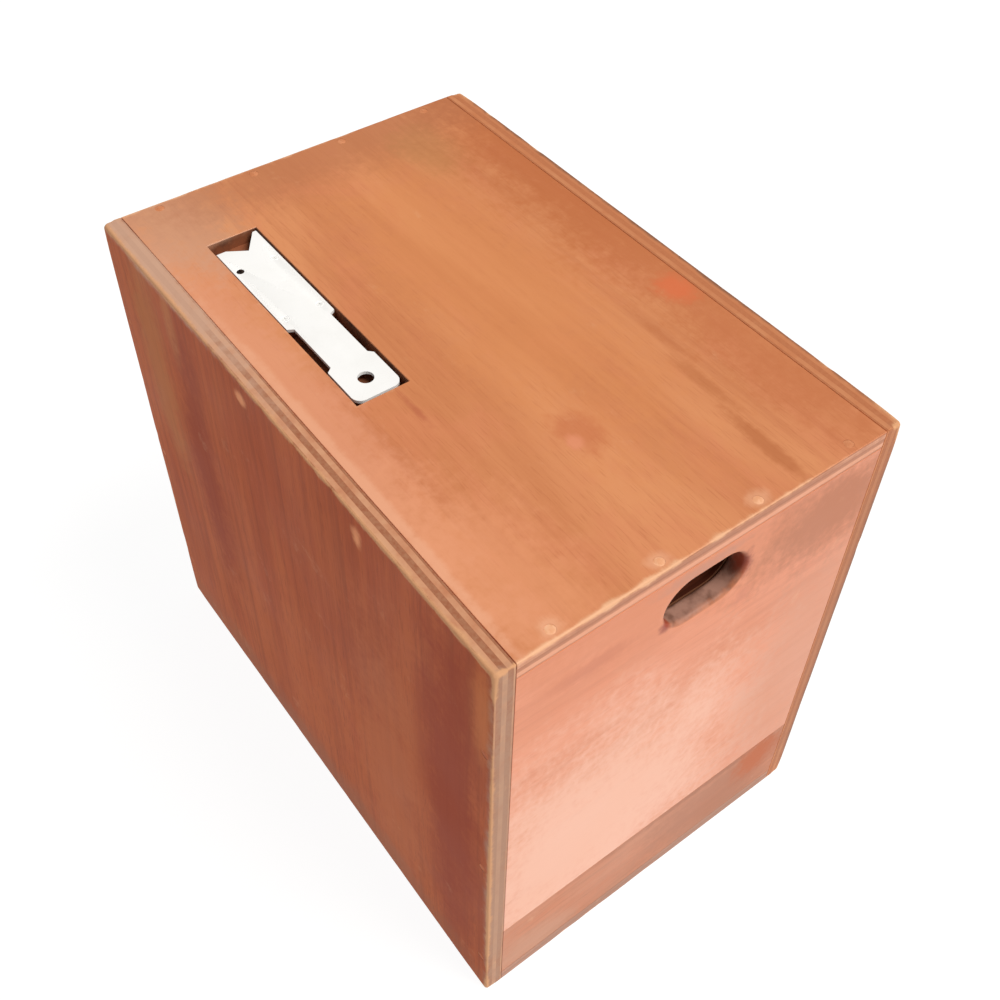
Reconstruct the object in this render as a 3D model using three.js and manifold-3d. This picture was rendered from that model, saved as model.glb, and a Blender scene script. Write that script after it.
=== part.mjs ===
// Plywood grip box: a hollow crate of 18 mm plywood that a crew stands on, sits on or props things with.
// Units are millimetres, +Z is up, and the origin is at the centre of the footprint, on the ground.
// X runs along the long sides, so the two ends, each with a hand hole, face +X and -X.
import * as THREE from "three";
import { mergeVertices } from "three/addons/utils/BufferGeometryUtils.js";
import Module from "manifold-3d";

const wasm = await Module();
wasm.setup();

// Outside of the box, and its stock
const LENGTH = 600;
const WIDTH = 400;
const HEIGHT = 545;
const PLY = 18;
const BATTEN = 25;
const GAP = 0.3;

// How far a cutter runs past the face it cuts, and how finely the round outlines are drawn
const OVERRUN = 1;
const CURVE = { slot: 16, eye: 24 };

// Hand hole through each end, a slot with round ends
const HAND_HOLE = { width: 82.5, height: 50, drop: 61.5 };

// Thinner board glued behind each hand hole, with the same slot through it, so the grip is deeper
const GRIP_BACKING = { thick: 15, wide: 170, tall: 90 };

// Seam across each end, between the tall end panel and the low rail, with a batten behind it
const RAIL_TOP = 112;
const SEAM_BATTEN = { thick: 18, tall: 40 };

// Routed pocket in the top: deep at both ends, with a shallow seat between them that carries the plate
const POCKET = { left: -215, right: 35, front: -138, back: -89, depth: 13 };
const SEAT = { left: -190, right: -78, depth: 5 };

// Eye plate: a notched body on the seat, then a neck and a square head with an eye, over the deep pocket
const PLATE = { thick: 3, left: -212.5, bodyRight: -74, front: -136.5, back: -90.5 };
const NECK = { front: -131, back: -96 };
const HEAD = { left: -12, right: 32, front: -136, back: -92, shoulder: 4, corner: 9 };
const EYE = { x: 10, y: -114, radius: 7 };
const NOTCH = { earStep: 12, earHeight: 9, deep: 22.5, middle: -110, mouth: -94 };
const PLATE_SCREWS = { x: [-168, -90], y: [-130.5, -96.5] };

// Countersunk screws: the long ones hold the panels, the short ones the plate
const LONG_SCREW = { head: 4, headTall: 2.6, shank: 2, length: 45, sunk: 2 };
const SHORT_SCREW = { head: 3.6, headTall: 2.2, shank: 1.6, length: 12, sunk: 0.2 };
const SCREW_SIDES = 10;
const POINT = 3;

// Screw rows: four along each end of the top, three up each corner, two under each rail
const TOP_ROW = [-147, -49, 49, 147];
const CORNER_ROW = [65, 250, 435];
const RAIL_ROW = [-98, 98];

const DIVIDER_X = 0;

const halfLength = LENGTH / 2;
const halfWidth = WIDTH / 2;
const endCentre = halfLength - PLY / 2;
const innerX = halfLength - PLY - GAP;
const innerY = halfWidth - PLY - GAP;
const floorZ = PLY + GAP;
const ceilingZ = HEIGHT - PLY - GAP;
const handHoleZ = HEIGHT - HAND_HOLE.drop;

const FINISH = {
  plywood: { color: 0xd0845a, roughness: 0.45, metalness: 0 },
  batten: { color: 0xd9b380, roughness: 0.7, metalness: 0 },
  plate: { color: 0xf2f1ee, roughness: 0.4, metalness: 0 },
  screw: { color: 0x9a9a98, roughness: 0.35, metalness: 1 },
};

const box = new THREE.Group();

function add(name, geometry, finish) {
  const mesh = new THREE.Mesh(geometry, new THREE.MeshStandardMaterial(FINISH[finish]));
  mesh.name = name;
  box.add(mesh);
  return mesh;
}

// Boolean helpers
function solid(geometry) {
  const bare = geometry.clone();
  bare.deleteAttribute("normal");
  bare.deleteAttribute("uv");
  const merged = mergeVertices(bare);
  return new wasm.Manifold(
    new wasm.Mesh({
      numProp: 3,
      vertProperties: merged.attributes.position.array,
      triVerts: new Uint32Array(merged.index.array),
    }),
  );
}

function geometryOf(body) {
  const { vertProperties, triVerts } = body.getMesh();
  const geometry = new THREE.BufferGeometry();
  geometry.setAttribute("position", new THREE.BufferAttribute(vertProperties, 3));
  geometry.setIndex(new THREE.BufferAttribute(triVerts, 1));
  const faceted = geometry.toNonIndexed();
  faceted.computeVertexNormals();
  return faceted;
}

function cut(geometry, cutters) {
  const body = cutters.reduce((rest, cutter) => rest.subtract(solid(cutter)), solid(geometry));
  return geometryOf(body);
}

// A block given by its lowest and highest corners
function block([x0, y0, z0], [x1, y1, z1]) {
  const geometry = new THREE.BoxGeometry(x1 - x0, y1 - y0, z1 - z0);
  return geometry.translate((x0 + x1) / 2, (y0 + y1) / 2, (z0 + z1) / 2);
}

// The two ends, in order, of a board that lies inside a wall on one side of the centre
const span = (sign, far, thick) => [sign * far, sign * (far - thick)].sort((a, b) => a - b);

// A countersunk screw or its clearance hole, pointing down from the origin, grown by a margin
function screwShape(size, margin, open) {
  const head = size.head + margin;
  const shank = size.shank + margin;
  const neckZ = -size.headTall;
  const tipZ = -size.length - margin;
  const rise = open ? size.sunk + OVERRUN : 0;
  const profile = [
    [0, tipZ],
    [shank / 2, tipZ],
    [shank, tipZ + POINT],
    [shank, neckZ],
    [head, margin],
    [head, rise],
    [0, rise],
  ];
  const points = profile
    .filter(([radius, z], i) => i === 0 || radius !== profile[i - 1][0] || z !== profile[i - 1][1])
    .map(([radius, z]) => new THREE.Vector2(radius, z));
  return new THREE.LatheGeometry(points, SCREW_SIDES).rotateX(Math.PI / 2);
}

// Screws are placed by the point on the face above their head and the direction they are driven in
const DRIVEN = {
  down: new THREE.Vector3(0, 0, -1),
  up: new THREE.Vector3(0, 0, 1),
  north: new THREE.Vector3(0, 1, 0),
  south: new THREE.Vector3(0, -1, 0),
};

function drive(geometry, size, place) {
  const direction = DRIVEN[place.driven];
  const turn = new THREE.Quaternion().setFromUnitVectors(DRIVEN.down, direction);
  const head = place.at.clone().addScaledVector(direction, size.sunk);
  return geometry.applyQuaternion(turn).translate(head.x, head.y, head.z);
}

const screwHole = (size, place) => drive(screwShape(size, GAP, true), size, place);

function addScrew(name, size, place) {
  add(name, drive(screwShape(size, 0, false), size, place), "screw");
}

// Places of every long screw
const onTop = (sign) => TOP_ROW.map((y) => ({
  driven: "down",
  at: new THREE.Vector3(sign * endCentre, y, HEIGHT),
}));
const onSide = (sign, driven) => CORNER_ROW.map((z) => ({
  driven,
  at: new THREE.Vector3(sign * endCentre, driven === "north" ? -halfWidth : halfWidth, z),
}));
const onBase = (sign) => RAIL_ROW.map((y) => ({
  driven: "up",
  at: new THREE.Vector3(sign * endCentre, y, 0),
}));

const SCREW_ROWS = {
  top_right: onTop(1),
  top_left: onTop(-1),
  front_right: onSide(1, "north"),
  front_left: onSide(-1, "north"),
  rear_right: onSide(1, "south"),
  rear_left: onSide(-1, "south"),
  base_right: onBase(1),
  base_left: onBase(-1),
};

const holesOf = (...rows) =>
  rows.flatMap((row) => SCREW_ROWS[row].map((place) => screwHole(LONG_SCREW, place)));

const plateScrewPlaces = PLATE_SCREWS.x.flatMap((x) =>
  PLATE_SCREWS.y.map((y) => ({
    driven: "down",
    at: new THREE.Vector3(x, y, HEIGHT - SEAT.depth + GAP + PLATE.thick),
  })),
);
const plateScrewHoles = () => plateScrewPlaces.map((place) => screwHole(SHORT_SCREW, place));

// Panels: the long sides run the full length and height, and everything else lies between them
function sidePanel(name, sign, rows) {
  const outer = sign * halfWidth;
  const inner = sign * (halfWidth - PLY);
  const sheet = block(
    [-halfLength, Math.min(outer, inner), 0],
    [halfLength, Math.max(outer, inner), HEIGHT],
  );
  add(name, cut(sheet, holesOf(...rows)), "plywood");
}

function pocketCutters() {
  const above = HEIGHT + OVERRUN;
  const slice = (left, right, depth) =>
    block([left, POCKET.front, HEIGHT - depth], [right, POCKET.back, above]);
  return [
    slice(POCKET.left, POCKET.right, SEAT.depth),
    slice(POCKET.left, SEAT.left, POCKET.depth),
    slice(SEAT.right, POCKET.right, POCKET.depth),
  ];
}

function topPanel() {
  const sheet = block([-halfLength, -innerY, HEIGHT - PLY], [halfLength, innerY, HEIGHT]);
  const cutters = [...pocketCutters(), ...plateScrewHoles(), ...holesOf("top_right", "top_left")];
  add("top_panel", cut(sheet, cutters), "plywood");
}

function bottomPanel() {
  const sheet = block([-halfLength, -innerY, 0], [halfLength, innerY, PLY]);
  add("bottom_panel", cut(sheet, holesOf("base_right", "base_left")), "plywood");
}

function handHoleCutter(x0, x1) {
  const radius = HAND_HOLE.height / 2;
  const reach = HAND_HOLE.width / 2 - radius;
  const outline = new THREE.Shape();
  outline.absarc(reach, 0, radius, -Math.PI / 2, Math.PI / 2);
  outline.absarc(-reach, 0, radius, Math.PI / 2, (3 * Math.PI) / 2);
  outline.closePath();
  const slot = new THREE.ExtrudeGeometry(outline, {
    depth: x1 - x0,
    bevelEnabled: false,
    curveSegments: CURVE.slot,
  });
  return slot.rotateX(Math.PI / 2).rotateZ(Math.PI / 2).translate(x0, 0, handHoleZ);
}

// A board standing in one end of the box
function endBoard(sign, z0, z1) {
  const xs = [sign * halfLength, sign * (halfLength - PLY)].sort((a, b) => a - b);
  return { xs, sheet: block([xs[0], -innerY, z0], [xs[1], innerY, z1]) };
}

function endPanel(side, sign) {
  const { xs, sheet } = endBoard(sign, RAIL_TOP + GAP, ceilingZ);
  const holes = holesOf(`top_${side}`, `front_${side}`, `rear_${side}`);
  const cutters = [handHoleCutter(xs[0] - OVERRUN, xs[1] + OVERRUN), ...holes];
  add(`${side}_end_panel`, cut(sheet, cutters), "plywood");
}

function gripBacking(side, sign) {
  const [x0, x1] = span(sign, innerX, GRIP_BACKING.thick);
  const halfWide = GRIP_BACKING.wide / 2;
  const sheet = block([x0, -halfWide, ceilingZ - GRIP_BACKING.tall], [x1, halfWide, ceilingZ]);
  add(`${side}_grip_backing`, cut(sheet, [handHoleCutter(x0 - OVERRUN, x1 + OVERRUN)]), "plywood");
}

function endRail(side, sign) {
  const { sheet } = endBoard(sign, floorZ, RAIL_TOP);
  const holes = holesOf(`front_${side}`, `rear_${side}`, `base_${side}`);
  add(`${side}_end_rail`, cut(sheet, holes), "plywood");
}

// Inside: a divider across the middle and glued softwood battens in every corner
function divider() {
  const notch = BATTEN + GAP;
  const sheet = block([DIVIDER_X - PLY / 2, -innerY, floorZ], [DIVIDER_X + PLY / 2, innerY, ceilingZ]);
  const corners = [-1, 1].flatMap((sign) =>
    [floorZ - OVERRUN, ceilingZ - notch].map((z) => {
      const ys = [sign * (innerY + OVERRUN), sign * (innerY - notch)].sort((a, b) => a - b);
      return block([DIVIDER_X - PLY, ys[0], z], [DIVIDER_X + PLY, ys[1], z + notch + OVERRUN]);
    }),
  );
  add("divider", cut(sheet, corners), "plywood");
}

function batten(name, low, high) {
  add(name, block(low, high), "batten");
}

function cornerBlocks() {
  for (const [side, xSign] of [["right", 1], ["left", -1]]) {
    for (const [face, ySign] of [["front", -1], ["rear", 1]]) {
      const [x0, x1] = span(xSign, innerX, BATTEN);
      const [y0, y1] = span(ySign, innerY, BATTEN);
      batten(`${face}_${side}_corner_block`, [x0, y0, floorZ], [x1, y1, ceilingZ]);
    }
  }
}

function longBattens() {
  const reach = innerX - BATTEN - GAP;
  for (const [face, ySign] of [["front", -1], ["rear", 1]]) {
    const [y0, y1] = span(ySign, innerY, BATTEN);
    batten(`${face}_top_batten`, [-reach, y0, ceilingZ - BATTEN], [reach, y1, ceilingZ]);
    batten(`${face}_base_batten`, [-reach, y0, floorZ], [reach, y1, floorZ + BATTEN]);
  }
}

function endBattens() {
  const reach = innerY - BATTEN - GAP;
  const seamZ = RAIL_TOP - SEAM_BATTEN.tall / 2;
  for (const [side, xSign] of [["right", 1], ["left", -1]]) {
    const [x0, x1] = span(xSign, innerX, BATTEN);
    batten(`${side}_base_batten`, [x0, -reach, floorZ], [x1, reach, floorZ + BATTEN]);
    const [s0, s1] = span(xSign, innerX, SEAM_BATTEN.thick);
    batten(`${side}_seam_batten`, [s0, -reach, seamZ], [s1, reach, seamZ + SEAM_BATTEN.tall]);
  }
}

// Eye plate, a stamped steel strip lying in the pocket
function plateOutline() {
  const neckRight = HEAD.left - HEAD.shoulder;
  const cornerX = HEAD.right - HEAD.corner;
  const outline = new THREE.Shape();
  outline.moveTo(PLATE.left + NOTCH.earStep, PLATE.front);
  outline.lineTo(PLATE.bodyRight - PLATE.thick, PLATE.front);
  outline.lineTo(PLATE.bodyRight, NECK.front);
  outline.lineTo(neckRight, NECK.front);
  outline.lineTo(HEAD.left, HEAD.front);
  outline.absarc(cornerX, HEAD.front + HEAD.corner, HEAD.corner, -Math.PI / 2, 0);
  outline.absarc(cornerX, HEAD.back - HEAD.corner, HEAD.corner, 0, Math.PI / 2);
  outline.lineTo(HEAD.left, HEAD.back);
  outline.lineTo(neckRight, NECK.back);
  outline.lineTo(PLATE.bodyRight, NECK.back);
  outline.lineTo(PLATE.bodyRight - PLATE.thick, PLATE.back);
  outline.lineTo(PLATE.left, PLATE.back);
  outline.lineTo(PLATE.left, NOTCH.mouth);
  outline.lineTo(PLATE.left + NOTCH.deep, NOTCH.middle);
  outline.lineTo(PLATE.left + NOTCH.earStep, PLATE.front + NOTCH.earHeight);
  outline.closePath();
  const hole = new THREE.Path();
  hole.absarc(EYE.x, EYE.y, EYE.radius, 0, 2 * Math.PI, true);
  outline.holes.push(hole);
  return outline;
}

function eyePlate() {
  const settings = { depth: PLATE.thick, bevelEnabled: false, curveSegments: CURVE.eye };
  const strip = new THREE.ExtrudeGeometry(plateOutline(), settings);
  strip.translate(0, 0, HEIGHT - SEAT.depth + GAP);
  add("eye_plate", cut(strip, plateScrewHoles()), "plate");
}

function screws() {
  for (const [row, places] of Object.entries(SCREW_ROWS)) {
    places.forEach((place, i) => addScrew(`${row}_screw_${i + 1}`, LONG_SCREW, place));
  }
  plateScrewPlaces.forEach((place, i) => addScrew(`plate_screw_${i + 1}`, SHORT_SCREW, place));
}

sidePanel("front_side_panel", -1, ["front_right", "front_left"]);
sidePanel("rear_side_panel", 1, ["rear_right", "rear_left"]);
topPanel();
bottomPanel();
for (const [side, sign] of [["right", 1], ["left", -1]]) {
  endPanel(side, sign);
  gripBacking(side, sign);
  endRail(side, sign);
}
divider();
cornerBlocks();
longBattens();
endBattens();
eyePlate();
screws();

export default box;
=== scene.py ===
"""Looks of the plywood grip box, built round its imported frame. Metres, +Z up, the frame's own axes."""

import math

import bpy
import numpy as np
from mathutils import Matrix, Vector, noise


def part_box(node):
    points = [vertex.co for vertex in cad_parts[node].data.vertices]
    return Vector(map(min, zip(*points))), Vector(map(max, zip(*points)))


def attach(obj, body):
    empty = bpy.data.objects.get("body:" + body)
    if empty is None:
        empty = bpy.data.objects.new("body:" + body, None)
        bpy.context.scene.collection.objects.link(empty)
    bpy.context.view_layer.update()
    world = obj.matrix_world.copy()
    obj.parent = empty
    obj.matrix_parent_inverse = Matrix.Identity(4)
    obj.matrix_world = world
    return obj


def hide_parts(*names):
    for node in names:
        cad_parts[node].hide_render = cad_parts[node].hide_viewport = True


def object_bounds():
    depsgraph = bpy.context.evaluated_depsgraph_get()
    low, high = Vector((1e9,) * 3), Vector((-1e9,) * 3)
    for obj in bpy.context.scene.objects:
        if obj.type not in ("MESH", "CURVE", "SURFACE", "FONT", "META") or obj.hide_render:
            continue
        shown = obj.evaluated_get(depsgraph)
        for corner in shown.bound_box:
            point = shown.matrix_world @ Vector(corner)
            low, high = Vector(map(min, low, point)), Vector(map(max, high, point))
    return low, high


MM = 0.001
X, Y, Z = range(3)
LOW, HIGH = range(2)

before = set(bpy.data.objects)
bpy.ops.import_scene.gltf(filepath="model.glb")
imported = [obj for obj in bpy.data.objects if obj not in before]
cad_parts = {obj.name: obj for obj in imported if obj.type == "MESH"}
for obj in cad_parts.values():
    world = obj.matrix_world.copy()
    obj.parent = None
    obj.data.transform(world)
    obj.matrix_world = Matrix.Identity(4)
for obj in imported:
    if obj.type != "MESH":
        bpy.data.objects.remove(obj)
cad_low, cad_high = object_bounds()
TOP = cad_high.z

# The box's outside faces, in mm
RIGHT, ROOF = cad_high.x / MM, cad_high.z / MM
FRONT, BACK = cad_low.y / MM, cad_high.y / MM

# ------------------------------------------------------------------ driving values

# Angles are in degrees, places in metres and the lens in mm
CAMERA = {
    "at": (0.6489, -0.4716, 1.2278),
    "heading": 141.49,
    "dip": 46.41,
    "roll": 2.01,
    "lens": 44.45,
    "shift": (-0.010, -0.05375),
}
SKY = 0.3
WINDOW = {"energy": 2.75, "softness": 30, "colour": (1, 0.97, 0.93), "heading": 35, "height": 56}
FLOOR = {"size": 12, "glow": 0.93}

# Plywood: a face veneer on each side of three thicker inner plies
SHEET = 18
VENEER = 2
PLY = (SHEET - 2 * VENEER) / 3

# Rounding of the boards' edges, in mm: worn where the outside shows, crisp in a joint
ARRIS = {"least": 0.8, "soft": 1.3, "chip": 3.2, "corner": 2.6, "joint": 0.12}
# How much an edge is rubbed by handling at the front, at the rear and below the base height in mm
HANDLED = {"front": 0.75, "rear": 0.0, "base": -0.4, "base_height": 2}
# Noise along the edges, in features to the metre: broad for rubbing, and fine, whose peaks are chips
KNOCKS = {"broad": 9, "fine": 52, "shift": (5, 3, 1), "rarity": 0.32}
# Reaches in mm: of a face from the box's side, of the worn band, of an edge and of a corner
WEAR = {"touching": 0.05, "band": 30, "beside": 12, "corner_reach": 35}
# Bare wood at a worn edge: least, gain for each mm of radius, most, and how far it fades in mm
RUB = {"least": 0.3, "gain": 0.55, "most": 1.3, "fade": 4}
# Lines of a board's mesh, in mm: their places near an edge, and the pitch of the rest
ROWS = (0, 0.35, 0.8, 1.4, 2.2, 3.2, 4.5, 6.5, 9)
GRID = 9
# Angles in degrees above which an edge is shaded sharp
CREASE = {"wood": 32, "steel": 20}

# Openings, fillers, plate and plate screws: lengths in mm, angles in degrees, and slack as a factor
HAND_HOLE = {"reach": 16.25, "radius": 25, "z": ROOF - 61.5, "round_over": 4, "slack": 1.01}
POCKET = {"left": -215, "right": 35, "front": -138, "back": -89, "deep": 13, "seat": 5}
SEAT = {"left": -190, "right": -78}
RIM_WEAR = 0.7
RIM_RUB = 0.35
RIM_DEPTH = 0.1
RIM_SLACK = 0.01

FILLER = {"radius": 4.4, "gap": 0.08, "sunk": 0.1, "deep": 0.6, "lift": 0.02}
FILLER_EDGE = {"deep": 0.1, "wide": 0.35}
FRESH_FILLERS = 3
PLATE = {"bevel": 0.4, "segments": 2, "weld": 0.01, "flat_angle": 1, "edge_angle": 35}
CROSS = {"reach": 2.1, "wide": 0.45, "deep": 1.2}
PLATE_SCREW = {"tip": 0.2, "point": 3, "rim": 0.25}
# Screws: how far in from the ends, and their places along the top, the corners and the rails
SCREW_INSET = 9
TOP_ROW = (-147, -49, 49, 147)
CORNER_ROW = (65, 250, 435)
RAIL_ROW = (-98, 98)


def paint(red, green, blue):
    """A colour given as 0 to 255 screen values, as the linear values that a shader takes."""
    shares = [screen / 255 for screen in (red, green, blue)]
    linear = [c / 12.92 if c <= 0.04045 else ((c + 0.055) / 1.055) ** 2.4 for c in shares]
    return (*linear, 1.0)


# ------------------------------------------------------------------ materials


class Shader:
    """Writes one node material. Each method adds a node and returns the socket that carries its result."""

    def __init__(self, name):
        self.material = bpy.data.materials.new(name)
        self.material.use_nodes = True
        self.tree = self.material.node_tree
        self.tree.nodes.clear()
        self.place = self.add("ShaderNodeTexCoord", out="Object")
        self.normal = self.place.node.outputs["Normal"]

    def add(self, kind, inputs=None, out=0, **settings):
        node = self.tree.nodes.new(kind)
        for key, value in settings.items():
            setattr(node, key, value)
        for key, value in (inputs or {}).items():
            if isinstance(value, bpy.types.NodeSocket):
                self.tree.links.new(value, node.inputs[key])
            else:
                node.inputs[key].default_value = value
        return node.outputs[out]

    def math(self, operation, *values, clamp=False):
        return self.add("ShaderNodeMath", dict(enumerate(values)), operation=operation, use_clamp=clamp)

    def vector(self, operation, *values, out=0):
        return self.add("ShaderNodeVectorMath", dict(enumerate(values)), out=out, operation=operation)

    def part(self, vector, axis):
        return self.add("ShaderNodeSeparateXYZ", {0: vector}, out=axis)

    def step(self, value, start, end, low=0.0, high=1.0):
        """low before start, high after end, and a smooth rise between them."""
        inputs = {0: value, 1: start, 2: end, 3: low, 4: high}
        return self.add("ShaderNodeMapRange", inputs, interpolation_type="SMOOTHSTEP")

    def mix(self, amount, a, b, blend="MIX"):
        return self.add("ShaderNodeMix", {0: amount, 6: a, 7: b}, out=2, data_type="RGBA", blend_type=blend)

    def noise(self, scale, seed=0.0, detail=2.0, rough=0.5, distort=0.0):
        """Noise from 0 to 1, with scale features to the metre along each axis."""
        scale = scale if isinstance(scale, tuple) else (scale,) * 3
        place = self.vector("MULTIPLY_ADD", self.place, scale, (seed, 1.7 * seed, 2.3 * seed))
        inputs = {"Vector": place, "Scale": 1.0, "Detail": detail, "Roughness": rough}
        return self.add("ShaderNodeTexNoise", {**inputs, "Distortion": distort})

    def attribute(self, name):
        return self.add("ShaderNodeAttribute", out="Fac", attribute_name=name)

    def surface(self, inputs, height=None, depth=0.0):
        if height is not None:
            bump = {"Strength": 1.0, "Distance": depth, "Height": height}
            inputs = {**inputs, "Normal": self.add("ShaderNodeBump", bump)}
        shader = self.add("ShaderNodeBsdfPrincipled", inputs)
        self.add_output(shader)

    def add_output(self, shader):
        output = self.tree.nodes.new("ShaderNodeOutputMaterial")
        self.tree.links.new(shader, output.inputs["Surface"])


def along(axis, far, across):
    """Noise scale that is low along one axis and high across it."""
    return tuple(far if a == axis else across for a in (X, Y, Z))


def add_patches(s, colour, patches):
    """Local changes of tone, each a soft blot at a place on the board, in mm."""
    broad = s.math("MULTIPLY", s.math("SUBTRACT", s.noise(18, seed=9, detail=5, rough=0.65), 0.5), 1.3)
    fine = s.math("MULTIPLY", s.math("SUBTRACT", s.noise(120, seed=4, detail=3, rough=0.6), 0.5), 0.9)
    ragged = s.math("ADD", broad, fine)
    for centre, reach, tint, amount in patches:
        away = s.vector("SUBTRACT", s.place, tuple(c * MM for c in centre))
        away = s.vector("DIVIDE", away, tuple(r * MM for r in reach))
        distance = s.vector("LENGTH", away, out=1)
        distance = s.math("ADD", distance, ragged)
        cover = s.step(distance, 1.3, 0.3, 0.0, amount)
        colour = s.mix(cover, colour, tint)
    return colour


def veneer(s, grain, look, seed):
    """Varnished face veneer: broad soft figure, mottling, faint streaks and pores along the grain."""
    figure = s.noise(along(grain, 1.6, 7.0), seed, detail=5, rough=0.55, distort=1.2)
    mottle = s.noise(along(grain, 8, 16), seed + 3, detail=5, rough=0.65, distort=0.6)
    streak = s.noise(along(grain, 4, 110), seed + 5, detail=4, rough=0.65, distort=0.3)
    pores = s.noise(along(grain, 55, 850), seed + 7, detail=1)
    colour = s.mix(s.step(figure, 0.36, 0.66), look["light"], look["dark"])
    colour = s.mix(s.step(mottle, 0.42, 0.7, 0.0, 0.6), colour, look["warm"])
    colour = s.mix(s.step(streak, 0.46, 0.72, 0.0, look["streaky"]), colour, look["streak"])
    pale_lines = s.step(streak, 0.5, 0.3, 0.0, look["streaky"])
    colour = s.mix(pale_lines, colour, look["light"])
    colour = s.mix(s.step(pores, 0.58, 0.72, 0.0, look["streaky"]), colour, look["streak"])
    return colour, streak, pores


def plies(s, depth, grain, cross, look, seed):
    """Colour of the cut edge of the sheet at a depth in mm: plies cut along their grain are pale, and plies
    cut across it are brown. The first inner ply runs across the face grain."""
    wander = s.math("MULTIPLY", s.math("SUBTRACT", s.noise(9, seed + 11), 0.5), 1.6)
    count = s.math("DIVIDE", s.math("SUBTRACT", s.math("ADD", depth, wander), VENEER), PLY)
    odd = s.math("FLOORED_MODULO", s.math("FLOOR", count), 2.0)
    within = s.math("FRACT", count)
    from_edge = s.math("MULTIPLY", s.math("MINIMUM", within, s.math("SUBTRACT", 1.0, within)), PLY)
    faces_grain = s.math("ABSOLUTE", s.part(s.normal, grain))
    faces_cross = s.math("ABSOLUTE", s.part(s.normal, cross))
    odd_shows = s.math("MULTIPLY", faces_grain, odd)
    even_shows = s.math("MULTIPLY", faces_cross, s.math("SUBTRACT", 1.0, odd))
    end_grain = s.math("ADD", odd_shows, even_shows)
    speckle = s.noise(300, seed + 13, detail=3, rough=0.6)
    patchy = s.noise(34, seed + 17, detail=4, rough=0.65)
    pale = s.mix(s.step(patchy, 0.35, 0.75, 0.0, 0.5), look["pale"], look["dark"])
    brown = s.mix(s.step(speckle, 0.3, 0.8, 0.0, 0.5), look["brown"], look["streak"])
    colour = s.mix(s.step(end_grain, 0.4, 0.85), pale, brown)
    return s.mix(s.step(from_edge, 0.35, 0.05, 0.0, 0.3), colour, look["streak"])


def plywood(name, thick, outer, grain, look, patches=(), seed=0.0):
    """Plywood whose faces are square to the thick axis. outer is where its first face lies on that axis."""
    s = Shader(name)
    cross = ({X, Y, Z} - {thick, grain}).pop()
    raw = s.math("SUBTRACT", s.part(s.place, thick), outer)
    depth = s.math("DIVIDE", s.math("ABSOLUTE", raw), MM)
    face, streak, pores = veneer(s, grain, look, seed)
    edge = plies(s, depth, grain, cross, look, seed)
    is_face = s.step(s.math("ABSOLUTE", s.part(s.normal, thick)), 0.45, 0.7)
    colour = s.mix(is_face, edge, face)
    rub = s.attribute("rub")
    # Walls of the openings, where rub is below zero, take darker colours: painted shade in the hollows,
    # with grime.
    grime_and_hollow_shade = s.step(rub, -0.1, -0.9)
    smear = s.noise(60, seed + 41, detail=3, rough=0.5)
    dirt_and_hollow_shade = s.mix(s.step(smear, 0.38, 0.68), look["dirt_and_hollow_shade"], look["grime_and_hollow_shade"])
    colour = s.mix(grime_and_hollow_shade, colour, dirt_and_hollow_shade)
    colour = add_patches(s, colour, patches)
    broken = s.noise(60, seed + 23, detail=5, rough=0.7)
    bare = s.math("ADD", rub, s.math("MULTIPLY", s.math("SUBTRACT", broken, 0.5), 0.9))
    worn = s.step(bare, 0.3, 0.75, 0.0, 0.85)
    colour = s.mix(worn, colour, look["bare"])
    scuff = s.step(s.noise((17, 23, 19), seed + 29, detail=6, rough=0.75), 0.6, 0.75, 0.0, 0.22)
    colour = s.mix(scuff, colour, look["bare"])
    dull = s.math("MULTIPLY", s.math("ADD", s.math("ADD", worn, grime_and_hollow_shade), s.noise(9, seed + 31)), 0.22)
    height = s.math("ADD", s.math("MULTIPLY", streak, 0.3), s.math("MULTIPLY", pores, -0.15))
    height = s.math("ADD", height, s.math("MULTIPLY", s.noise(30, seed + 37, detail=3), 0.8))
    inputs = {
        "Base Color": colour,
        "Roughness": s.math("ADD", dull, look["roughness"]),
        "Specular IOR Level": look["sheen"],
        "Coat Weight": look["coat"],
        "Coat Roughness": 0.3,
    }
    s.surface(inputs, height, 0.3 * MM)
    return s.material


def pine(name, grain, seed):
    """Bare sawn softwood."""
    s = Shader(name)
    rings = s.noise(along(grain, 2.5, 70), seed, detail=3, rough=0.5, distort=0.4)
    saw = s.noise(along(grain, 900, 30), seed + 2, detail=1)
    colour = s.mix(s.step(rings, 0.4, 0.62), paint(222, 184, 132), paint(186, 138, 86))
    s.surface({"Base Color": colour, "Roughness": 0.78}, s.math("ADD", rings, saw), 0.2 * MM)
    return s.material


def powder_coat():
    s = Shader("powder_coat")
    blotch = s.noise(24, 2, detail=4, rough=0.6)
    chips = s.noise(330, 4, detail=4, rough=0.7)
    rub = s.attribute("rub")
    chipped = s.step(s.math("ADD", s.math("MULTIPLY", rub, 0.35), chips), 0.84, 0.9)
    colour = s.mix(s.step(blotch, 0.35, 0.75), paint(255, 255, 254), paint(249, 249, 247))
    colour = s.mix(chipped, colour, paint(150, 148, 144))
    roughness = s.step(blotch, 0.3, 0.7, 0.4, 0.55)
    peel = s.noise(420, 6, detail=2)
    s.surface({"Base Color": colour, "Roughness": roughness, "Metallic": chipped}, peel, 0.04 * MM)
    return s.material


def zinc():
    s = Shader("zinc")
    cloud = s.noise(240, 3, detail=4, rough=0.6)
    colour = s.mix(s.step(cloud, 0.3, 0.7), paint(206, 204, 198), paint(150, 148, 142))
    roughness = s.step(cloud, 0.3, 0.7, 0.3, 0.5)
    s.surface({"Base Color": colour, "Roughness": roughness, "Metallic": 1.0}, cloud, 0.03 * MM)
    return s.material


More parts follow.
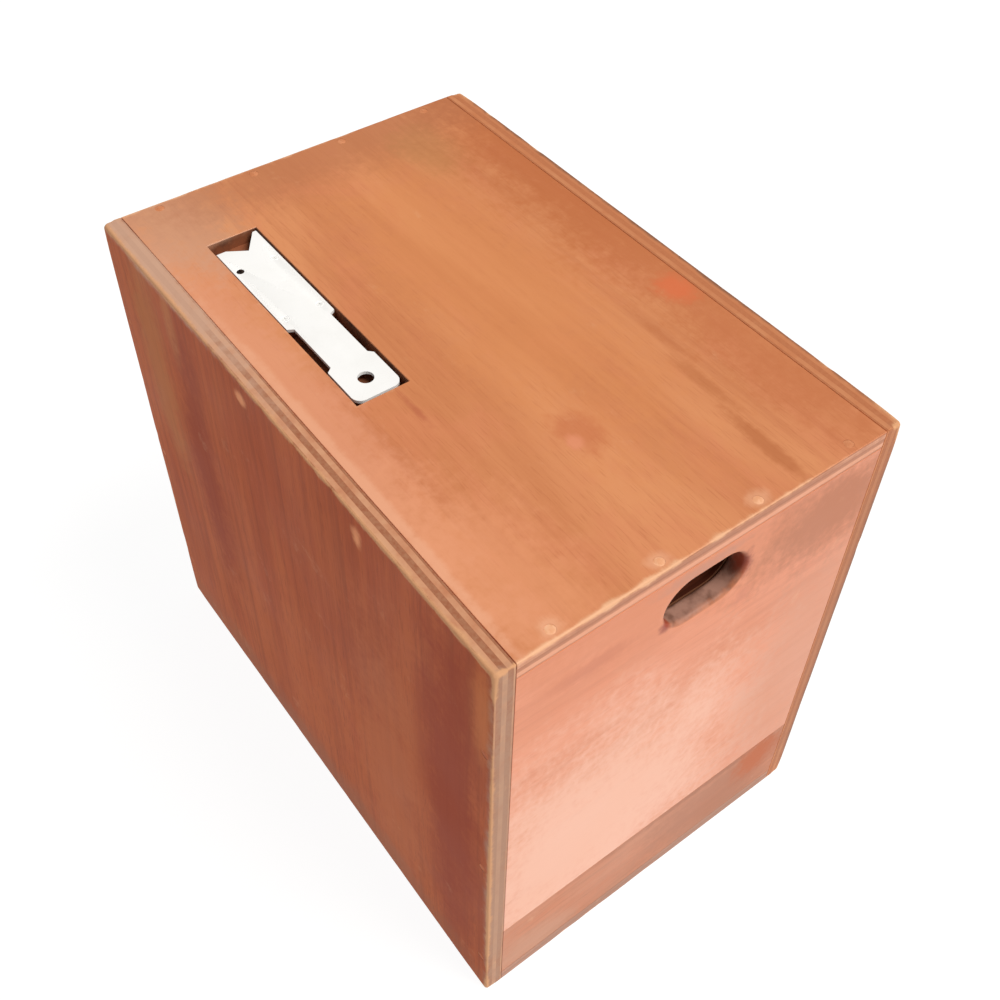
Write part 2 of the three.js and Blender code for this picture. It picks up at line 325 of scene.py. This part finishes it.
def wood_filler(name, fresh, stained):
    s = Shader(name)
    grit = s.noise(500, 5, detail=3, rough=0.7)
    blotch = s.noise(130, 8, detail=4, rough=0.6)
    colour = s.mix(s.step(blotch, 0.3, 0.65), fresh, stained)
    s.surface({"Base Color": colour, "Roughness": 0.7, "Specular IOR Level": 0.15}, grit, 0.12 * MM)
    return s.material


def dark_steel():
    s = Shader("dark_steel")
    cloud = s.noise(260, 3, detail=4, rough=0.6)
    colour = s.mix(s.step(cloud, 0.3, 0.7), paint(74, 54, 44), paint(38, 28, 24))
    s.surface({"Base Color": colour, "Roughness": 0.6, "Metallic": 0.6}, cloud, 0.05 * MM)
    return s.material


# ------------------------------------------------------------------ meshes


def new_piece(name, mesh, material, slot, *replaced):
    piece = bpy.data.objects.new(name, mesh)
    bpy.context.scene.collection.objects.link(piece)
    mesh.materials.clear()
    mesh.materials.append(material)
    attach(piece, "root")
    if replaced:
        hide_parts(*replaced)
    return piece


def smooth(mesh, angle=CREASE["wood"]):
    """Smooth shading with sharp creases."""
    mesh.shade_smooth()
    mesh.set_sharp_from_angle(angle=math.radians(angle))


def grid_lines(low, high):
    """Places along one side of a board: close together near its ends, then an even grid."""
    near = np.array(ROWS) * MM
    count = max(2, round((high - low) / (GRID * MM)))
    inner = np.linspace(low + near[-1], high - near[-1], count)
    return np.unique(np.round(np.concatenate([low + near, inner, high - near]), 7))


def box_grid(lines):
    """The surface of a box as one mesh of quads, with grid lines given along each axis."""
    counts = [len(line) for line in lines]
    quads = []
    for axis in (X, Y, Z):
        across, up = (axis + 1) % 3, (axis + 2) % 3
        i, j = np.meshgrid(np.arange(counts[across] - 1), np.arange(counts[up] - 1), indexing="ij")
        for side in (LOW, HIGH):
            corners = []
            for di, dj in ((0, 0), (1, 0), (1, 1), (0, 1)):
                index = [None] * 3
                index[axis] = np.full(i.size, side * (counts[axis] - 1))
                index[across] = (i + di).ravel()
                index[up] = (j + dj).ravel()
                corners.append((index[X] * counts[Y] + index[Y]) * counts[Z] + index[Z])
            face = np.stack(corners, axis=1)
            quads.append(face if side == HIGH else face[:, ::-1])
    quads = np.concatenate(quads)
    keys, quads = np.unique(quads, return_inverse=True)
    row, column = keys // (counts[Y] * counts[Z]), keys // counts[Z] % counts[Y]
    index = np.stack([row, column, keys % counts[Z]], axis=1)
    points = np.stack([lines[axis][index[:, axis]] for axis in (X, Y, Z)], axis=1)
    return points, quads.reshape(-1, 4)


def wear_at(edge_points, corner_nearness):
    """Radius in mm that an outside edge has worn to at each point: rubbing, chips and worn corners."""
    radius = np.empty(len(edge_points))
    for n, point in enumerate(edge_points):
        rubbed = max(0.0, noise.noise(Vector(point) * KNOCKS["broad"]) + handled(point))
        fine = noise.noise(Vector(point) * KNOCKS["fine"] + Vector(KNOCKS["shift"]))
        chipped = max(0.0, fine - KNOCKS["rarity"])
        radius[n] = ARRIS["least"] + ARRIS["soft"] * rubbed + ARRIS["chip"] * chipped
    return radius + ARRIS["corner"] * corner_nearness


def handled(point):
    """How much an edge is rubbed: most along the front, where it is lifted, and least round the base."""
    if point[Z] < HANDLED["base_height"] * MM:
        return HANDLED["base"]
    change = HANDLED["rear"] - HANDLED["front"]
    return HANDLED["front"] + change * (point[Y] - cad_low.y) / (cad_high.y - cad_low.y)


def worn_box(low, high):
    """Points, quads and rub of a board with outside edges worn round and crisp joint edges."""
    points, quads = box_grid([grid_lines(low[a], high[a]) for a in (X, Y, Z)])
    low, high = np.array(low), np.array(high)
    box = np.array([cad_low, cad_high])
    is_outer = np.abs(np.array([low, high]) - box) < WEAR["touching"] * MM
    to_low, to_high = points - low, high - points
    side = (to_high < to_low).astype(int)
    away = np.minimum(to_low, to_high)
    outer = is_outer[side, np.arange(3)]
    reach = np.where(outer, away, np.inf)
    ordered = np.sort(reach, axis=1)
    arris = np.hypot(ordered[:, 0], ordered[:, 1]) / MM
    near = arris < WEAR["band"]
    beside = outer & (away < WEAR["beside"] * MM)
    edge_points = np.where(beside, np.where(side == HIGH, high, low), points)
    corner = np.clip(1 - ordered[:, 2] / (WEAR["corner_reach"] * MM), 0, 1) ** 2
    radius = np.full(len(points), ARRIS["least"])
    radius[near] = wear_at(edge_points[near], corner[near])
    each = np.where(outer, radius[:, None], ARRIS["joint"]) * MM
    centre = np.clip(points, low + each, high - each)
    off = (points - centre) / each
    length = np.linalg.norm(off, axis=1, keepdims=True)
    points = np.where(length > 0, centre + each * off / np.maximum(length, 1e-9), points)
    bareness = RUB["least"] + RUB["gain"] * (radius - ARRIS["least"])
    rub = np.exp(-arris / RUB["fade"]) * np.clip(bareness, 0, RUB["most"])
    return points, quads, rub


def make_mesh(name, points, faces, rub=None):
    mesh = bpy.data.meshes.new(name)
    mesh.from_pydata([tuple(p) for p in points], [], [tuple(f) for f in faces])
    values = np.zeros(len(mesh.vertices)) if rub is None else np.asarray(rub)
    layer = mesh.attributes.new("rub", "FLOAT", "POINT")
    layer.data.foreach_set("value", values.astype(np.float32))
    mesh.update()
    return mesh


def prism(outline, rows, place):
    """A closed prism. outline(offset) gives points in a plane, rows are (height, offset), and place puts
    (u, v, height) into the frame."""
    rings = [[place(u, v, height) for u, v in outline(offset)] for height, offset in rows]
    count = len(rings[0])
    points = [p for ring in rings for p in ring]
    faces = [tuple(range(count))[::-1], tuple(range(len(points) - count, len(points)))]
    for r in range(len(rows) - 1):
        for n in range(count):
            m = (n + 1) % count
            faces.append((r * count + n, r * count + m, (r + 1) * count + m, (r + 1) * count + n))
    return points, faces


def join_shells(shells):
    points, faces = [], []
    for shell_points, shell_faces in shells:
        start = len(points)
        points += shell_points
        faces += [tuple(i + start for i in face) for face in shell_faces]
    return points, faces


def outward(mesh):
    """Turns a closed mesh so that its faces look out."""
    if signed_volume(mesh) < 0:
        mesh.flip_normals()
    return mesh


def signed_volume(mesh):
    mesh.calc_loop_triangles()
    corners = [[mesh.vertices[i].co for i in tri.vertices] for tri in mesh.loop_triangles]
    return sum(a.dot(b.cross(c)) for a, b, c in corners) / 6


def cut(mesh, cutters):
    """The mesh with each cutter's solid taken out of it."""
    work = bpy.data.objects.new("work", mesh)
    bpy.context.scene.collection.objects.link(work)
    tools = []
    for shell in cutters:
        tool = bpy.data.objects.new("tool", outward(make_mesh("tool", *shell)))
        bpy.context.scene.collection.objects.link(tool)
        step = work.modifiers.new("cut", "BOOLEAN")
        step.object = tool
        step.operation = "DIFFERENCE"
        step.solver = "EXACT"
        tools.append(tool)
    graph = bpy.context.evaluated_depsgraph_get()
    result = bpy.data.meshes.new_from_object(work.evaluated_get(graph))
    for spare in [work, *tools]:
        bpy.data.objects.remove(spare)
    return result


# ------------------------------------------------------------------ boards


def stadium(offset):
    """Outline of the hand hole, grown by an offset."""
    radius, steps = HAND_HOLE["radius"] + offset, 24
    points = []
    for sign, start in ((1, -90), (-1, 90)):
        for n in range(steps + 1):
            angle = math.radians(start + 180 * n / steps)
            points.append((sign * HAND_HOLE["reach"] + radius * math.cos(angle), radius * math.sin(angle)))
    return points


def hand_hole_cutter(low_x, high_x):
    """A slot through an end panel, rounded over at both faces."""
    size, steps = HAND_HOLE["round_over"], 6
    quarter = [
        (size - size * math.cos(math.pi / 2 * n / steps), size - size * math.sin(math.pi / 2 * n / steps))
        for n in range(steps + 1)
    ]
    thick = (high_x - low_x) / MM
    rows = [(-1, size), *quarter, *[(thick - d, offset) for d, offset in quarter[::-1]], (thick + 1, size)]

    def place(u, v, height):
        return (low_x + height * MM, u * MM, (HAND_HOLE["z"] + v) * MM)

    return prism(stadium, rows, place)


def rectangle(offset):
    left, right = POCKET["left"] - offset, POCKET["right"] + offset
    front, back = POCKET["front"] - offset, POCKET["back"] + offset
    return [(left, front), (right, front), (right, back), (left, back)]


def pocket_cutters():
    """The stepped pocket, and the worn rim round its mouth."""
    left, right, deep, seat = POCKET["left"], POCKET["right"], -POCKET["deep"], -POCKET["seat"]
    steps = [(left, 1), (left, deep), (SEAT["left"], deep), (SEAT["left"], seat)]
    steps += [(SEAT["right"], seat), (SEAT["right"], deep), (right, deep), (right, 1)]

    def across(u, v, height):
        return (u * MM, height * MM, TOP + v * MM)

    def down(u, v, height):
        return (u * MM, v * MM, TOP + height * MM)

    well = prism(lambda _: steps, [(POCKET["front"], 0), (POCKET["back"], 0)], across)
    rim = prism(rectangle, [(-RIM_WEAR, 0), (0, RIM_WEAR), (1, RIM_WEAR)], down)
    return [well, rim]


def circle(radius, steps=28):
    turns = [2 * math.pi * n / steps for n in range(steps)]
    return [(radius * math.cos(turn), radius * math.sin(turn)) for turn in turns]


def spot_frame(spot):
    """Turns (u, v, height above the face) into a point of the frame."""
    centre, axis, side = spot
    across, up = (axis + 1) % 3, (axis + 2) % 3
    outwards = 1 if side == HIGH else -1

    def place(u, v, height):
        point = [0.0] * 3
        point[across] = centre[across] + u * MM
        point[up] = centre[up] + v * MM
        point[axis] = centre[axis] + outwards * height * MM
        return tuple(point)

    return place


def recess_cutter(spot_list):
    """Round recesses over the screw heads, as one cutter."""
    rows = [(-FILLER["deep"], 0), (1, 0)]

    def outline(grow):
        return circle(FILLER["radius"] + grow)

    return join_shells([prism(outline, rows, spot_frame(spot)) for spot in spot_list])


def in_hand_hole(x, y, z):
    """Rub of a point of the slot: below zero on its wall, where it is darkened as painted shade with grime,
    and clean at its mouth.
    """
    away = math.hypot(max(abs(y) - HAND_HOLE["reach"], 0), z - HAND_HOLE["z"]) - HAND_HOLE["radius"]
    share = away / HAND_HOLE["round_over"]
    return None if share > HAND_HOLE["slack"] else max(share, 0) ** 2 - 1


def in_pocket(x, y, z):
    """Rub of a point of the pocket: below zero inside, where it is darkened as painted shade with grime,
    and worn at its rim.
    """
    reach = RIM_WEAR + RIM_SLACK
    if not POCKET["left"] - reach < x < POCKET["right"] + reach:
        return None
    if not POCKET["front"] - reach < y < POCKET["back"] + reach:
        return None
    return -1 if z < ROOF - RIM_DEPTH else RIM_RUB


def set_rub(mesh, rule):
    """Gives the vertices of an opening their rub. The rule takes a place in mm, or passes over it."""
    for vertex, entry in zip(mesh.vertices, mesh.attributes["rub"].data):
        rub = rule(*(vertex.co / MM))
        if rub is not None:
            entry.value = rub


def board(name, material, cutters, rule):
    low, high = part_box(name)
    points, quads, rub = worn_box(low, high)
    mesh = make_mesh(name, points, quads, rub)
    if cutters:
        mesh = cut(mesh, cutters)
    if rule:
        set_rub(mesh, rule)
    smooth(mesh)
    return new_piece(name + "_worn", mesh, material, "red_plywood", name)


def screw_spots():
    """Filled screw heads, by face: each is a point on the face, its axis and its side."""
    right, left = cad_high.x - SCREW_INSET * MM, cad_low.x + SCREW_INSET * MM
    rows = {"top": [], "front": [], "rear": [], "base": []}
    for x in (right, left):
        rows["top"] += [((x, y * MM, TOP), Z, HIGH) for y in TOP_ROW]
        rows["front"] += [((x, cad_low.y, z * MM), Y, LOW) for z in CORNER_ROW]
        rows["rear"] += [((x, cad_high.y, z * MM), Y, HIGH) for z in CORNER_ROW]
        rows["base"] += [((x, y * MM, 0.0), Z, LOW) for y in RAIL_ROW]
    return rows


def add_fillers():
    """Filler over the screw heads: fresh and pale along the right end of the top, stained elsewhere."""
    fresh = wood_filler("fresh_filler", paint(252, 196, 156), paint(236, 168, 124))
    stained = {
        "top": wood_filler("top_filler", paint(222, 150, 108), paint(204, 128, 86)),
        "front": wood_filler("side_filler", paint(207, 117, 73), paint(177, 91, 54)),
    }
    foot, top = FILLER["lift"] - FILLER["deep"], -FILLER["sunk"]
    rows = [(foot, 0), (top - FILLER_EDGE["deep"], 0), (top, -FILLER_EDGE["wide"])]

    def outline(grow):
        return circle(FILLER["radius"] - FILLER["gap"] + grow)

    for face, spot_list in SPOTS.items():
        for n, spot in enumerate(spot_list, start=1):
            mesh = outward(make_mesh(f"filler_{face}_{n}", *prism(outline, rows, spot_frame(spot))))
            smooth(mesh)
            tone = stained["top"] if face in ("top", "base") else stained["front"]
            is_fresh = face == "top" and n <= FRESH_FILLERS
            new_piece(f"filler_{face}_{n}", mesh, fresh if is_fresh else tone, "red_plywood")


# ------------------------------------------------------------------ plate and screws


def bevelled_copy(node):
    """The node's shape with its flat faces made whole and its edges bevelled."""
    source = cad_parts[node].data.copy()
    work = bpy.data.objects.new("work", source)
    bpy.context.scene.collection.objects.link(work)
    weld = work.modifiers.new("weld", "WELD")
    weld.merge_threshold = PLATE["weld"] * MM
    flat = work.modifiers.new("flat", "DECIMATE")
    flat.decimate_type = "DISSOLVE"
    flat.angle_limit = math.radians(PLATE["flat_angle"])
    bevel = work.modifiers.new("bevel", "BEVEL")
    bevel.width = PLATE["bevel"] * MM
    bevel.segments = PLATE["segments"]
    bevel.limit_method = "ANGLE"
    bevel.angle_limit = math.radians(PLATE["edge_angle"])
    graph = bpy.context.evaluated_depsgraph_get()
    mesh = bpy.data.meshes.new_from_object(work.evaluated_get(graph))
    bpy.data.objects.remove(work)
    return mesh


def add_plate(coat, steel):
    """The eye plate, and its four cross-head screws: one bare and dark, the rest painted over."""
    mesh = bevelled_copy("eye_plate")
    smooth(mesh, CREASE["steel"])
    new_piece("eye_plate_coated", mesh, coat, "white_steel", "eye_plate")
    for n in range(1, 5):
        node = f"plate_screw_{n}"
        mesh = cross_head(node)
        smooth(mesh, CREASE["steel"])
        new_piece(node + "_finished", mesh, steel if n == 1 else coat, "steel_screw", node)


def cross_head(node):
    """A countersunk screw as long and as wide as the node, with a cross recess in its head."""
    low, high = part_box(node)
    centre = ((low.x + high.x) / 2, (low.y + high.y) / 2, high.z)
    head, length = (high.x - low.x) / 2 / MM, (high.z - low.z) / MM
    shank, rim = -head / 2, PLATE_SCREW["rim"]
    rows = [(-length, PLATE_SCREW["tip"] - head), (PLATE_SCREW["point"] - length, shank)]
    rows += [(shank, shank), (-rim, 0), (0, -rim)]
    place = spot_frame((centre, Z, HIGH))
    mesh = outward(make_mesh(node, *prism(lambda grow: circle(head + grow), rows, place)))
    reach, wide = CROSS["reach"], CROSS["wide"]
    slots = []
    for x, y in ((reach, wide), (wide, reach)):
        corners = [(-x, -y), (x, -y), (x, y), (-x, y)]
        slots.append(prism(lambda _, at=corners: at, [(-CROSS["deep"], 0), (1, 0)], place))
    return cut(mesh, slots)


# ------------------------------------------------------------------ camera, light and floor


def make_camera():
    data = bpy.data.cameras.new("camera")
    data.lens = CAMERA["lens"]
    data.shift_x, data.shift_y = CAMERA["shift"]
    camera = bpy.data.objects.new("camera", data)
    heading, dip = math.radians(CAMERA["heading"]), math.radians(CAMERA["dip"])
    ahead = Vector((math.cos(dip) * math.cos(heading), math.cos(dip) * math.sin(heading), -math.sin(dip)))
    level = ahead.to_track_quat("-Z", "Y").to_matrix()
    turned = level @ Matrix.Rotation(math.radians(CAMERA["roll"]), 3, "Z")
    camera.matrix_world = Matrix.Translation(CAMERA["at"]) @ turned.to_4x4()
    bpy.context.scene.collection.objects.link(camera)
    bpy.context.scene.camera = camera


def make_floor():
    s = Shader("pale_floor")
    tone = s.mix(s.noise(1.5, detail=2), paint(94, 94, 93), paint(99, 99, 99))
    glow = {"Emission Color": (1, 1, 1, 1), "Emission Strength": FLOOR["glow"]}
    s.surface({"Base Color": tone, "Roughness": 0.7, **glow})
    half = FLOOR["size"] / 2
    corners = [(-half, -half, 0), (half, -half, 0), (half, half, 0), (-half, half, 0)]
    mesh = make_mesh("floor", corners, [(0, 1, 2, 3)])
    mesh.materials.append(s.material)
    floor = bpy.data.objects.new("floor", mesh)
    bpy.context.scene.collection.objects.link(floor)


def make_light():
    world = bpy.data.worlds.new("studio")
    world.use_nodes = True
    world.node_tree.nodes["Background"].inputs["Strength"].default_value = SKY
    world.node_tree.nodes["Background"].inputs["Color"].default_value = (1, 1, 1, 1)
    bpy.context.scene.world = world
    sun = bpy.data.lights.new("window", "SUN")
    sun.energy = WINDOW["energy"]
    sun.angle = math.radians(WINDOW["softness"])
    sun.color = WINDOW["colour"]
    lamp = bpy.data.objects.new("window", sun)
    heading, height = math.radians(WINDOW["heading"]), math.radians(WINDOW["height"])
    level = math.cos(height)
    towards = Vector((level * math.cos(heading), level * math.sin(heading), math.sin(height)))
    lamp.rotation_mode = "QUATERNION"
    lamp.rotation_quaternion = towards.to_track_quat("Z", "Y")
    bpy.context.scene.collection.objects.link(lamp)
    bpy.context.scene.view_settings.view_transform = "Standard"


# ------------------------------------------------------------------ the box

TOP_LOOK = {
    "light": paint(224, 148, 98),
    "dark": paint(208, 130, 82),
    "warm": paint(218, 134, 92),
    "streak": paint(184, 104, 62),
    "streaky": 0.3,
    "pale": paint(226, 160, 122),
    "brown": paint(184, 118, 82),
    "bare": paint(238, 184, 142),
    # The next two colours darken the pocket's inside: painted shade, with grime.
    "dirt_and_hollow_shade": paint(146, 84, 52),
    "grime_and_hollow_shade": paint(104, 62, 42),
    "roughness": 0.42,
    "sheen": 0.4,
    "coat": 0.1,
}
# The front panel's colours are painted shade: the same varnished plywood as the top, made darker and redder
# for the side that faces away from the light.
SHADED_FRONT_LOOK = {
    **TOP_LOOK,
    "light": paint(191, 96, 47),
    "dark": paint(172, 78, 36),
    "warm": paint(179, 81, 41),
    "streak": paint(146, 65, 32),
    "streaky": 0.5,
    "pale": paint(214, 160, 124),
    "brown": paint(174, 120, 90),
    "bare": paint(222, 166, 122),
    "roughness": 0.55,
    "sheen": 0.12,
    "coat": 0,
}
REAR_LOOK = {
    **SHADED_FRONT_LOOK,
    "light": paint(208, 124, 76),
    "dark": paint(190, 104, 60),
    "warm": paint(200, 110, 66),
    "streak": paint(164, 86, 50),
    "pale": paint(208, 140, 98),
    "brown": paint(190, 122, 84),
}
# The end's colours are paler and pinker than the top's: in part a painted glare off the varnish.
END_LOOK = {
    **TOP_LOOK,
    "light": paint(232, 147, 109),
    "dark": paint(221, 134, 92),
    "warm": paint(228, 134, 90),
    "streak": paint(199, 111, 72),
    "streaky": 0.3,
    # The next two colours darken the hand hole's wall: painted shade, with grime.
    "dirt_and_hollow_shade": paint(170, 126, 108),
    "grime_and_hollow_shade": paint(104, 66, 50),
    "roughness": 0.33,
    "sheen": 0.35,
    "coat": 0.12,
}
RAIL_LOOK = {
    **TOP_LOOK,
    "light": paint(201, 136, 105),
    "dark": paint(186, 120, 87),
    "warm": paint(207, 124, 85),
    "streak": paint(157, 98, 68),
    "roughness": 0.5,
    "sheen": 0.3,
    "coat": 0.05,
}
# The grip backings, seen through the hand holes, are made very dark: painted shade inside the box.
SHADED_BACKING_LOOK = {
    **END_LOOK,
    "light": paint(150, 104, 76),
    "dark": paint(92, 48, 30),
    "warm": paint(110, 62, 40),
    "streak": paint(70, 36, 24),
    "pale": paint(84, 40, 26),
    "brown": paint(70, 32, 20),
    "sheen": 0.1,
    "coat": 0,
}
BASE_LOOK = {**TOP_LOOK, "pale": paint(200, 136, 104), "brown": paint(170, 110, 80)}

# name: thickness axis, side of its first face, grain axis, look, seed
BOARDS = {
    "front_side_panel": (Y, LOW, Z, SHADED_FRONT_LOOK, 1.0),
    "rear_side_panel": (Y, HIGH, Z, REAR_LOOK, 2.0),
    "top_panel": (Z, HIGH, X, TOP_LOOK, 3.0),
    "bottom_panel": (Z, LOW, X, BASE_LOOK, 4.0),
    "right_end_panel": (X, HIGH, Y, END_LOOK, 5.0),
    "left_end_panel": (X, LOW, Y, END_LOOK, 6.0),
    "right_end_rail": (X, HIGH, Y, RAIL_LOOK, 7.0),
    "left_end_rail": (X, LOW, Y, RAIL_LOOK, 8.0),
}

OPENINGS = {"top_panel": in_pocket, "right_end_panel": in_hand_hole, "left_end_panel": in_hand_hole}

# Marks and tone changes on each board: centre in mm, reach in mm, tint and strength. Later ones lie on top
MARKS = {
    "top_panel": [
        ((0, -182, ROOF), (420, 46, 6), paint(230, 156, 120), 0.7),
        ((-270, -150, ROOF), (100, 60, 6), paint(206, 158, 128), 0.6),
        ((-40, 40, ROOF), (260, 95, 6), paint(220, 140, 84), 0.6),
        ((-100, 200, ROOF), (420, 84, 6), paint(190, 104, 54), 0.75),
        ((-290, 40, ROOF), (64, 260, 6), paint(182, 112, 74), 0.55),
        ((230, -150, ROOF), (120, 60, 6), paint(238, 160, 116), 0.5),
        ((RIGHT, 0, ROOF - 5), (5, 260, 4), paint(164, 96, 62), 0.7),
        ((RIGHT, 0, ROOF - 14), (5, 260, 5), paint(236, 160, 124), 0.6),
        ((150, 175, ROOF), (180, 40, 6), paint(202, 120, 74), 0.6),
        ((72, 166, ROOF), (24, 20, 6), paint(226, 112, 66), 0.7),
        ((-235, 110, ROOF), (55, 34, 6), paint(188, 128, 76), 0.5),
        ((172, 103, ROOF), (44, 7, 6), paint(188, 110, 62), 0.55),
        ((252, 94, ROOF), (56, 8, 6), paint(182, 102, 54), 0.65),
        ((108, 114, ROOF), (44, 6, 6), paint(190, 110, 64), 0.55),
        ((158, -16, ROOF), (26, 18, 6), paint(196, 104, 64), 0.5),
        ((66, -103, ROOF), (26, 4, 6), paint(186, 100, 66), 0.7),
        ((166, -24, ROOF), (9, 7, 6), paint(240, 156, 120), 0.5),
        ((110, -178, ROOF), (270, 6, 6), paint(240, 176, 140), 0.6),
        ((290, -147, ROOF), (9, 10, 6), paint(248, 190, 152), 0.4),
        ((290, -49, ROOF), (8, 10, 6), paint(248, 190, 152), 0.4),
        ((290, 50, ROOF), (9, 12, 6), paint(248, 190, 152), 0.4),
    ],
    "front_side_panel": [
        # Several tints on the front were darkened along with its look, as painted shade.
        ((245, FRONT, 300), (44, 6, 300), paint(156, 60, 28), 0.85),
        ((150, FRONT, 200), (55, 6, 240), paint(195, 105, 58), 0.7),
        ((288, FRONT, 480), (16, 6, 70), paint(212, 126, 67), 0.5),
        ((-178, FRONT, 508), (12, 6, 50), paint(204, 133, 77), 0.5),
        ((-235, FRONT, 420), (34, 6, 150), paint(186, 114, 60), 0.6),
        ((-165, FRONT, 330), (34, 6, 180), paint(152, 58, 26), 0.75),
        ((0, FRONT, 10), (380, 6, 40), paint(163, 98, 67), 0.6),
        ((-230, FRONT + 10, ROOF), (220, 15, 9), paint(204, 164, 140), 0.85),
        ((RIGHT, FRONT + 10, 260), (8, 16, 460), paint(176, 140, 118), 0.75),
        ((-46, FRONT, 524), (9, 6, 8), paint(250, 168, 116), 0.7),
        ((130, FRONT, 520), (8, 6, 13), paint(250, 168, 116), 0.7),
    ],
    "rear_side_panel": [
        ((0, BACK - 7, ROOF), (420, 9, 8), paint(196, 122, 82), 0.6),
        ((0, BACK, ROOF), (420, 4, 7), paint(128, 90, 70), 0.85),
        ((RIGHT, BACK - 6, 260), (8, 12, 420), paint(166, 116, 92), 0.5),
        ((RIGHT, BACK, 260), (7, 4, 420), paint(140, 102, 86), 0.75),
    ],
    "right_end_panel": [
        # Pale blot low and mid on the right end: painted glare off the varnish.
        ((RIGHT, -90, 210), (6, 200, 190), paint(243, 185, 158), 0.85),
        ((RIGHT, 165, 240), (6, 90, 210), paint(212, 142, 108), 0.6),
        ((RIGHT, 20, 505), (6, 260, 62), paint(216, 128, 82), 0.7),
        ((RIGHT, 140, 478), (6, 110, 62), paint(181, 103, 57), 0.85),
        ((RIGHT, -8, 517), (6, 46, 8), paint(190, 130, 106), 0.6),
        ((RIGHT, -110, 480), (6, 40, 12), paint(201, 111, 72), 0.5),
        ((RIGHT, 47, 440), (6, 10, 14), paint(208, 122, 88), 0.5),
        # Deep red on the far end wall of the hand hole: painted shade.
        ((RIGHT - 4, 41, 486), (14, 10, 20), paint(146, 54, 24), 1.0),
        ((RIGHT - 2, -38, 468), (9, 8, 9), paint(154, 58, 24), 1.0),
    ],
    "right_end_rail": [
        ((RIGHT, 90, 60), (6, 110, 70), paint(170, 109, 80), 0.6),
        ((RIGHT, 60, 110), (6, 150, 8), paint(158, 99, 69), 0.6),
        ((RIGHT, -150, 40), (6, 60, 40), paint(201, 150, 123), 0.5),
        ((RIGHT, 146, 82), (6, 32, 38), paint(188, 94, 42), 0.9),
    ],
    "bottom_panel": [((RIGHT, 0, 6), (8, 330, 30), paint(158, 106, 78), 0.8)],
}

SPOTS = screw_spots()


def cutters_for(name):
    low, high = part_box(name)
    if name.endswith("end_panel"):
        return [hand_hole_cutter(low.x, high.x)]
    if name == "top_panel":
        return [*pocket_cutters(), recess_cutter(SPOTS["top"])]
    faces = {"front_side_panel": "front", "rear_side_panel": "rear", "bottom_panel": "base"}
    return [recess_cutter(SPOTS[faces[name]])] if name in faces else []


def make_boards():
    for name, (thick, side, grain, look, seed) in BOARDS.items():
        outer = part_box(name)[side][thick]
        marks = MARKS.get(name, ())
        material = plywood("plywood_" + name, thick, outer, grain, look, marks, seed)
        board(name, material, cutters_for(name), OPENINGS.get(name))


def finish_inside():
    """The CAD pieces that keep their own shape: the divider, grip backings, battens and long screws."""
    finishes = {
        "upright": pine("pine_upright", Z, 1.0),
        "long": pine("pine_long", X, 2.0),
        "short": pine("pine_short", Y, 3.0),
        "screw": zinc(),
    }
    # The grip backings' dark look is painted shade.
    stained = {"divider": END_LOOK, "right_grip_backing": SHADED_BACKING_LOOK, "left_grip_backing": SHADED_BACKING_LOOK}
    for name, look in stained.items():
        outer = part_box(name)[LOW].x
        finishes[name] = plywood("plywood_" + name, X, outer, Y, look, seed=12.0)
    for name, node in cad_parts.items():
        if node.hide_render:
            continue
        kind = "screw"
        if name in finishes:
            kind = name
        elif name.endswith("corner_block"):
            kind = "upright"
        elif name.endswith("batten"):
            kind = "long" if name.startswith(("front", "rear")) else "short"
        node.data.materials.clear()
        node.data.materials.append(finishes[kind])


make_camera()
make_floor()
make_light()
make_boards()
add_fillers()
add_plate(powder_coat(), dark_steel())
finish_inside()
